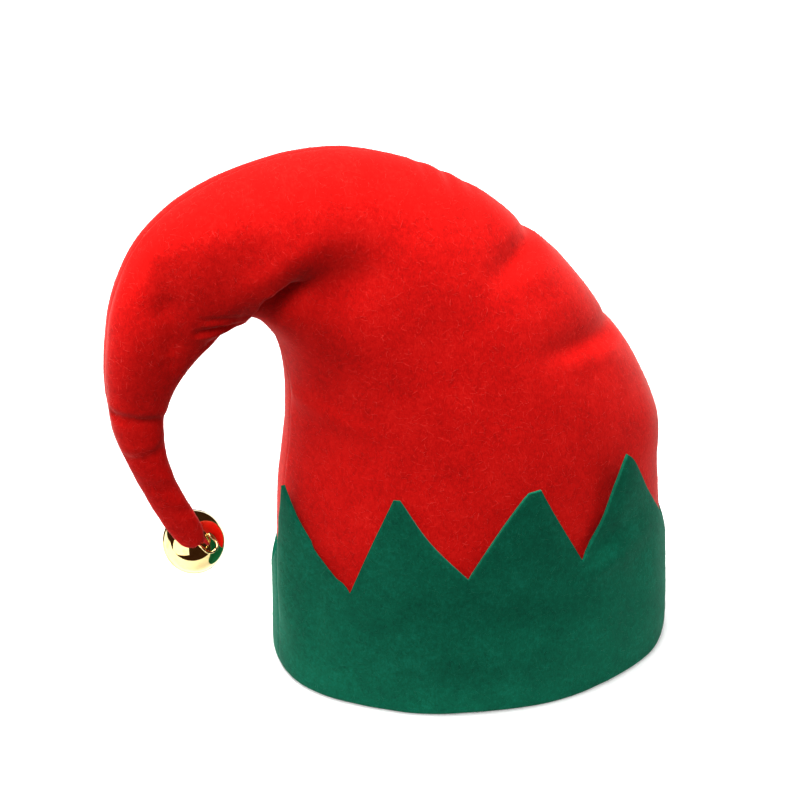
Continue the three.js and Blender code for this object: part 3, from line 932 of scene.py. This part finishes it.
@dataclass
class Bell:
    """The jingle bell: a pressed shell with a crimped middle, a cross of slots, a soldered loop and a pellet.

    It is made standing on its own axis, the loop up, and then turned to where it hangs.
    """

    centre: tuple[float, float, float] = (-124.901 * MM, 13.493 * MM, 61.203 * MM)
    up: tuple[float, float, float] = (0.07993, -0.87925, 0.4696)
    across: tuple[float, float, float] = (0.82611, 0.32207, 0.4624)
    radius: float = 13.5 * MM
    wall: float = 0.6 * MM
    crimp: float = 0.4 * MM
    crimp_height: float = 0.75 * MM
    facets: int = 72
    slot_width: float = 2.6 * MM
    slot_reach: float = 9.5 * MM
    keyhole_radius: float = 1.8 * MM
    slot_round: float = 0.12 * MM
    slot_angle: float = math.radians(50)
    loop_radius: float = 3.1 * MM
    loop_leg: float = 2.6 * MM
    loop_wire: float = 1.15 * MM
    loop_turn: float = 1.2 * MM
    loop_bend: float = math.radians(78)
    loop_sink: float = 0.1 * MM
    pellet_radius: float = 3.0 * MM
    pellet_drop: float = 9.5 * MM
    pellet_beating: float = 0.02
    pellet_flats: float = 1.6 * MM
    thread_radius: float = 0.26 * MM
    stitch_radius: float = 2.55 * MM
    stitch_turns: int = 4
    stitch_share: float = 0.42
    stitch_pitch: float = 1.4
    tail_edge: tuple[float, float, float] = (-124.66 * MM, -3.105 * MM, 70.03 * MM)
    eye_from_edge: tuple[float, float, float] = (1.78 * MM, 3.05 * MM, -3.0 * MM)

    def build(self, nodes: dict[str, Object]) -> None:
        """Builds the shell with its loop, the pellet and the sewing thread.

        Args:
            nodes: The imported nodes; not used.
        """
        gold = PlatedFinish("gold_plated_steel", "ecd596", "dcc07a", roughness=0.03).material()
        steel = PlatedFinish("dull_steel", "8f9194", "6d6f72", roughness=0.3).material()
        thread = FibreFinish("red_sewing_thread", "a81414", roughness=0.5).material()
        shell = self._finished(self._shell(), "bell_body", "bell_shell", gold)
        loop = self._finished(self._loop(), "bell_loop", "bell_shell", gold)
        pellet = self._finished(self._pellet(), "bell_ball", "bell_pellet", steel)
        stitches = self._finished(self._stitches(), "sewing_thread", None, thread)
        for piece in (shell, loop, pellet, stitches):
            log.info("%s: %d faces", piece.name, len(piece.data.polygons))

    def _finished(self, mesh: BMesh, name: str, node: str | None,
                  material: Material) -> Object:
        """Args:
            mesh: The mesh, in its place.
            name: The piece's name.
            node: The solid that it stands for, if there is one.
            material: The finish.

        Returns:
            The piece.
        """
        piece = object_from(name, mesh, material)
        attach(piece, BODY)
        if node:
            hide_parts(node)
        return piece

    def _turned(self) -> Matrix:
        """The bell's own axes, the loop up along Z, turned to where it hangs."""
        up = Vector(self.up).normalized()
        across = Vector(self.across)
        across = (across - across.dot(up) * up).normalized()
        axes = Matrix((across, up.cross(across), up)).transposed().to_4x4()
        return Matrix.Translation(self.centre) @ axes

    def _profile(self, radius: float, rolled: float) -> BMesh:
        """Spins a ball from half a circle with a rolled band round its middle.

        Args:
            radius: The ball's radius.
            rolled: How far the band stands out.

        Returns:
            The closed ball, its normals out.
        """
        mesh = bmesh.new()
        degrees = [*range(-90, -6, 4), -5.0, -4.2, -3.6, -3.1, -2.5, -1.5, 0.0]
        degrees += [-angle for angle in reversed(degrees[:-1])]
        points = []
        for angle in map(math.radians, degrees):
            height = radius * math.sin(angle)
            band = rolled / (1 + (height / self.crimp_height) ** 8)
            points.append(mesh.verts.new(((radius + band) * math.cos(angle), 0.0, height)))
        points[0].co.x = points[-1].co.x = 0.0
        edges = [mesh.edges.new(pair) for pair in zip(points, points[1:])]
        spin(mesh, [*points, *edges], self.facets)
        bmesh.ops.remove_doubles(mesh, verts=mesh.verts, dist=MERGE)
        bmesh.ops.recalc_face_normals(mesh, faces=mesh.faces)
        return mesh

    def _shell(self) -> BMesh:
        """The hollow ball with its cross of slots, their ends opened to round holes.

        Returns:
            The shell in its place.
        """
        mesh = self._profile(self.radius, self.crimp)
        hollow = self._profile(self.radius - self.wall, 0.0)
        bmesh.ops.reverse_faces(hollow, faces=hollow.faces)
        inside = bpy.data.meshes.new("hollow")
        hollow.to_mesh(inside)
        hollow.free()
        mesh.from_mesh(inside)
        bpy.data.meshes.remove(inside)
        ball = object_from("ball", mesh, None)
        cutters = [self._slot_cutter(0), self._slot_cutter(1), self._keyhole_cutter()]
        for cutter in cutters:
            cut = ball.modifiers.new(cutter.name, "BOOLEAN")
            cut.operation = "DIFFERENCE"
            cut.solver = "EXACT"
            cut.object = cutter
        round_edges(ball, self.slot_round, self.slot_angle)
        made = applied(ball)
        for cutter in cutters:
            bpy.data.objects.remove(cutter)
        made.transform(self._turned())
        return made

    def _slot_cutter(self, quarter: int) -> Object:
        """A block that cuts one of the two crossing slots through the lower half."""
        mesh = bmesh.new()
        bmesh.ops.create_cube(mesh, size=1.0)
        bmesh.ops.scale(mesh, verts=mesh.verts, vec=(2 * self.slot_reach, self.slot_width, self.radius))
        bmesh.ops.translate(mesh, verts=mesh.verts, vec=(0.0, 0.0, -self.radius))
        turn_quarters(mesh, mesh.verts, "Z", quarter)
        return object_from(f"slot_{quarter}", mesh, None)

    def _keyhole_cutter(self) -> Object:
        """Four round posts that open the slots' ends."""
        mesh = bmesh.new()
        for quarter in range(4):
            post = bmesh.ops.create_cone(mesh, cap_ends=True, segments=24, radius1=self.keyhole_radius,
                                         radius2=self.keyhole_radius, depth=self.radius)
            bmesh.ops.translate(mesh, verts=post["verts"], vec=(self.slot_reach, 0.0, -self.radius))
            turn_quarters(mesh, post["verts"], "Z", quarter)
        return object_from("keyholes", mesh, None)

    def _loop(self) -> BMesh:
        """The wire loop soldered to the top, bent over to lie along the ball.

        Returns:
            The loop in its place.
        """
        mesh = bmesh.new()
        bmesh.ops.create_circle(mesh, cap_ends=True, segments=14, radius=self.loop_wire / 2)
        foot = self.radius - self.wall - self.loop_sink
        bmesh.ops.translate(mesh, verts=mesh.verts, vec=(-self.loop_radius, 0.0, foot))
        over = Matrix.Rotation(self.loop_bend, 3, "X")
        leg = over @ Vector((0.0, 0.0, self.loop_leg))
        hinge = Vector((0.0, -self.loop_turn, self.radius + self.loop_wire / 2))
        centre = hinge + over @ Vector((0.0, self.loop_turn, self.loop_leg))
        end = self._drawn(mesh, mesh.faces[:], Vector((0.0, 0.0, hinge.z - foot)))
        end = self._swept(mesh, end, hinge, Vector((1.0, 0.0, 0.0)), self.loop_bend, 6)
        end = self._drawn(mesh, end, leg)
        end = self._swept(mesh, end, centre, over @ Vector((0.0, 1.0, 0.0)), math.pi, 24)
        end = self._drawn(mesh, end, -leg)
        end = self._swept(mesh, end, hinge, Vector((1.0, 0.0, 0.0)), -self.loop_bend, 6)
        self._drawn(mesh, end, Vector((0.0, 0.0, foot - hinge.z)))
        bmesh.ops.recalc_face_normals(mesh, faces=mesh.faces)
        mesh.transform(self._turned())
        return mesh

    def _drawn(self, mesh: BMesh, faces: list, move: Vector) -> list:
        """Extrudes faces by a move and returns the new end face."""
        grown = bmesh.ops.extrude_face_region(mesh, geom=faces)["geom"]
        bmesh.ops.delete(mesh, geom=faces, context="FACES_ONLY")
        verts = [item for item in grown if isinstance(item, BMVert)]
        bmesh.ops.translate(mesh, verts=verts, vec=move)
        return [item for item in grown if isinstance(item, BMFace)]

    def _swept(self, mesh: BMesh, faces: list, centre: Vector, axis: Vector, angle: float,
               steps: int) -> list:
        """Spins faces round an axis and returns the new end face."""
        last = spin(mesh, faces, steps, centre, axis, angle, merge=False)
        return [item for item in last if isinstance(item, BMFace)]

    def _pellet(self) -> BMesh:
        """The loose ball, rolled to the lowest place inside, with the flats that shaking beat on it.

        Returns:
            The ball in its place.
        """
        mesh = bmesh.new()
        bmesh.ops.create_icosphere(mesh, subdivisions=4, radius=self.pellet_radius)
        for vert in mesh.verts:
            beaten = noise.noise(vert.co / self.pellet_flats + Vector((3.0, 1.0, 4.0)))
            vert.co *= 1 - self.pellet_beating * max(0.0, beaten)
        lowest = Vector(self.centre) - Vector((0.0, 0.0, self.pellet_drop))
        bmesh.ops.translate(mesh, verts=mesh.verts, vec=lowest)
        return mesh

    def _stitches(self) -> BMesh:
        """Turns of sewing thread through the loop's eye and the inner edge of the tail.

        Returns:
            The stitches in their place.
        """
        mesh = bmesh.new()
        eye_axis = Vector(self.across).cross(Vector(self.up)).normalized()
        outward = Vector(self.eye_from_edge).normalized()
        middle = Vector(self.tail_edge) + self.stitch_share * Vector(self.eye_from_edge)
        drawn = random.Random(SEED)
        for turn in range(self.stitch_turns):
            ring = bmesh.ops.create_circle(mesh, segments=8, radius=self.thread_radius)["verts"]
            turn_quarters(mesh, ring, "X")
            radius = self.stitch_radius * drawn.uniform(0.9, 1.02)
            bmesh.ops.translate(mesh, verts=ring, vec=(radius, 0.0, 0.0))
            edges = list({edge for vert in ring for edge in vert.link_edges})
            before = set(mesh.verts) - set(ring)
            spin(mesh, [*ring, *edges], 28)
            loop = [vert for vert in mesh.verts if vert not in before]
            lean = (eye_axis + Vector([drawn.uniform(-0.28, 0.28) for _ in range(3)])).normalized()
            normal = outward.cross(lean).normalized()
            axes = Matrix((outward, normal.cross(outward), normal)).transposed().to_4x4()
            shift = normal * (turn - (self.stitch_turns - 1) / 2) * self.stitch_pitch * self.thread_radius
            bmesh.ops.transform(mesh, matrix=Matrix.Translation(middle + shift) @ axes, verts=loop)
        bmesh.ops.remove_doubles(mesh, verts=mesh.verts, dist=MERGE)
        bmesh.ops.recalc_face_normals(mesh, faces=mesh.faces)
        return mesh


@dataclass
class Studio:
    """The white table, the soft studio light and the camera at the photo's angle."""

    eye: tuple[float, float, float] = (-0.2969, -0.6994, 0.4299)
    azimuth: float = math.radians(-20.52)
    pitch: float = math.radians(22.58)
    lens: float = 85.0
    sensor: float = 36.0
    room_light: float = 0.6
    ground_light: float = 0.05
    backdrop_light: float = 1.05
    horizon: float = 0.1
    table_size: float = 30.0
    card_place: tuple[float, float, float] = (-0.80, -0.35, -0.02)
    card_size: tuple[float, float] = (0.9, 0.62)
    lights: tuple[tuple, ...] = (
        ("top_light", (-0.6, 0.5, 2.9), (0.0, 0.0, 0.12), 2.0, 215.0),
        ("front_light", (-1.2, -1.8, 2.3), (0.0, 0.0, 0.12), 1.5, 68.0),
        ("left_light", (-1.45, -0.5, 0.45), (0.0, 0.0, 0.1), 1.1, 1.5),
        ("right_light", (1.7, -0.7, 0.7), (0.0, 0.0, 0.1), 1.1, 5.0),
    )

    def build(self) -> None:
        """Sets up the table, lights, world and camera."""
        mesh = bmesh.new()
        bmesh.ops.create_grid(mesh, x_segments=1, y_segments=1, size=self.table_size)
        floor = object_from("floor", mesh, FloorFinish().material())
        for light in self.lights:
            self._softbox(*light)
        self._card()
        self._world()
        self._camera()
        log.info("studio ready")

    def _softbox(self, name: str, place: tuple, target: tuple, width: float, watts: float) -> None:
        """Hangs a square softbox that faces a target."""
        lamp = bpy.data.lights.new(name, "AREA")
        lamp.size, lamp.energy = width, watts
        hung = bpy.data.objects.new(name, lamp)
        hung.location = place
        hung.rotation_euler = (Vector(place) - Vector(target)).to_track_quat("Z", "Y").to_euler()
        bpy.context.scene.collection.objects.link(hung)

    def _card(self) -> None:
        """Stands a white card at the left for the gold to mirror."""
        mesh = bmesh.new()
        bmesh.ops.create_grid(mesh, x_segments=1, y_segments=1, size=0.5)
        bmesh.ops.scale(mesh, verts=mesh.verts, vec=(*self.card_size, 1.0))
        place = Vector(self.card_place)
        facing = Vector(self.card_place).to_track_quat("Z", "Y").to_matrix().to_4x4()
        bmesh.ops.transform(mesh, matrix=Matrix.Translation(place) @ facing, verts=mesh.verts)
        card = object_from("card", mesh, CardFinish().material())
        card.visible_camera = card.visible_diffuse = card.visible_shadow = False

    def _world(self) -> None:
        """A pale room above the table, darkest behind the camera; polished metal mirrors it brown."""
        world = bpy.data.worlds.new("pale_room")
        world.use_nodes = True
        tree = world.node_tree
        tree.nodes.clear()
        direction = add_node(tree, "ShaderNodeTexCoord").outputs["Generated"]
        parts = add_node(tree, "ShaderNodeSeparateXYZ", {0: direction})
        depth = add_node(tree, "ShaderNodeMapRange", {
            "Value": parts.outputs[1], "From Min": -1.0, "From Max": 1.0,
        })
        above = add_node(tree, "ShaderNodeMapRange", {
            "Value": parts.outputs[2], "From Min": -self.horizon, "From Max": self.horizon,
            "To Min": self.ground_light, "To Max": self.room_light,
        })
        colour = ramp(tree, depth.outputs[0], [(0.0, "9a9a9a"), (0.5, "c0c0c0"), (1.0, "d8d8d8")])
        room = add_node(tree, "ShaderNodeBackground", {"Color": colour, "Strength": above.outputs[0]})
        wood = add_node(tree, "ShaderNodeBackground", {"Color": linear("3a2418"), "Strength": 1.0})
        white = add_node(tree, "ShaderNodeBackground", {
            "Color": linear("ffffff"), "Strength": self.backdrop_light,
        })
        path = add_node(tree, "ShaderNodeLightPath")
        lit = add_node(tree, "ShaderNodeMixShader", {
            0: path.outputs["Is Glossy Ray"], 1: room.outputs[0], 2: wood.outputs[0],
        })
        mixed = add_node(tree, "ShaderNodeMixShader", {
            0: path.outputs["Is Camera Ray"], 1: lit.outputs[0], 2: white.outputs[0],
        })
        add_node(tree, "ShaderNodeOutputWorld", {"Surface": mixed.outputs[0]})
        bpy.context.scene.world = world

    def _camera(self) -> None:
        """Puts the camera where the photo was taken from."""
        scene = bpy.context.scene
        data = bpy.data.cameras.new("photo_camera")
        data.lens = self.lens
        data.sensor_width = self.sensor
        data.clip_start, data.clip_end = 0.01, 100.0
        camera = bpy.data.objects.new("photo_camera", data)
        forward = Vector((
            -math.sin(self.azimuth) * math.cos(self.pitch),
            math.cos(self.azimuth) * math.cos(self.pitch),
            -math.sin(self.pitch),
        ))
        camera.location = self.eye
        camera.rotation_euler = forward.to_track_quat("-Z", "Y").to_euler()
        scene.collection.objects.link(camera)
        scene.camera = camera
        scene.view_settings.view_transform = "Standard"
        scene.view_settings.look = "None"


def main() -> None:
    """Builds the hat and its studio, piece by piece."""
    logging.basicConfig(level=logging.INFO, format="%(name)s: %(message)s")
    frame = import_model()
    nodes = frame["nodes"]
    Hat().build(nodes)
    Bell().build(nodes)
    Studio().build()


if __name__ == "__main__":
    main()
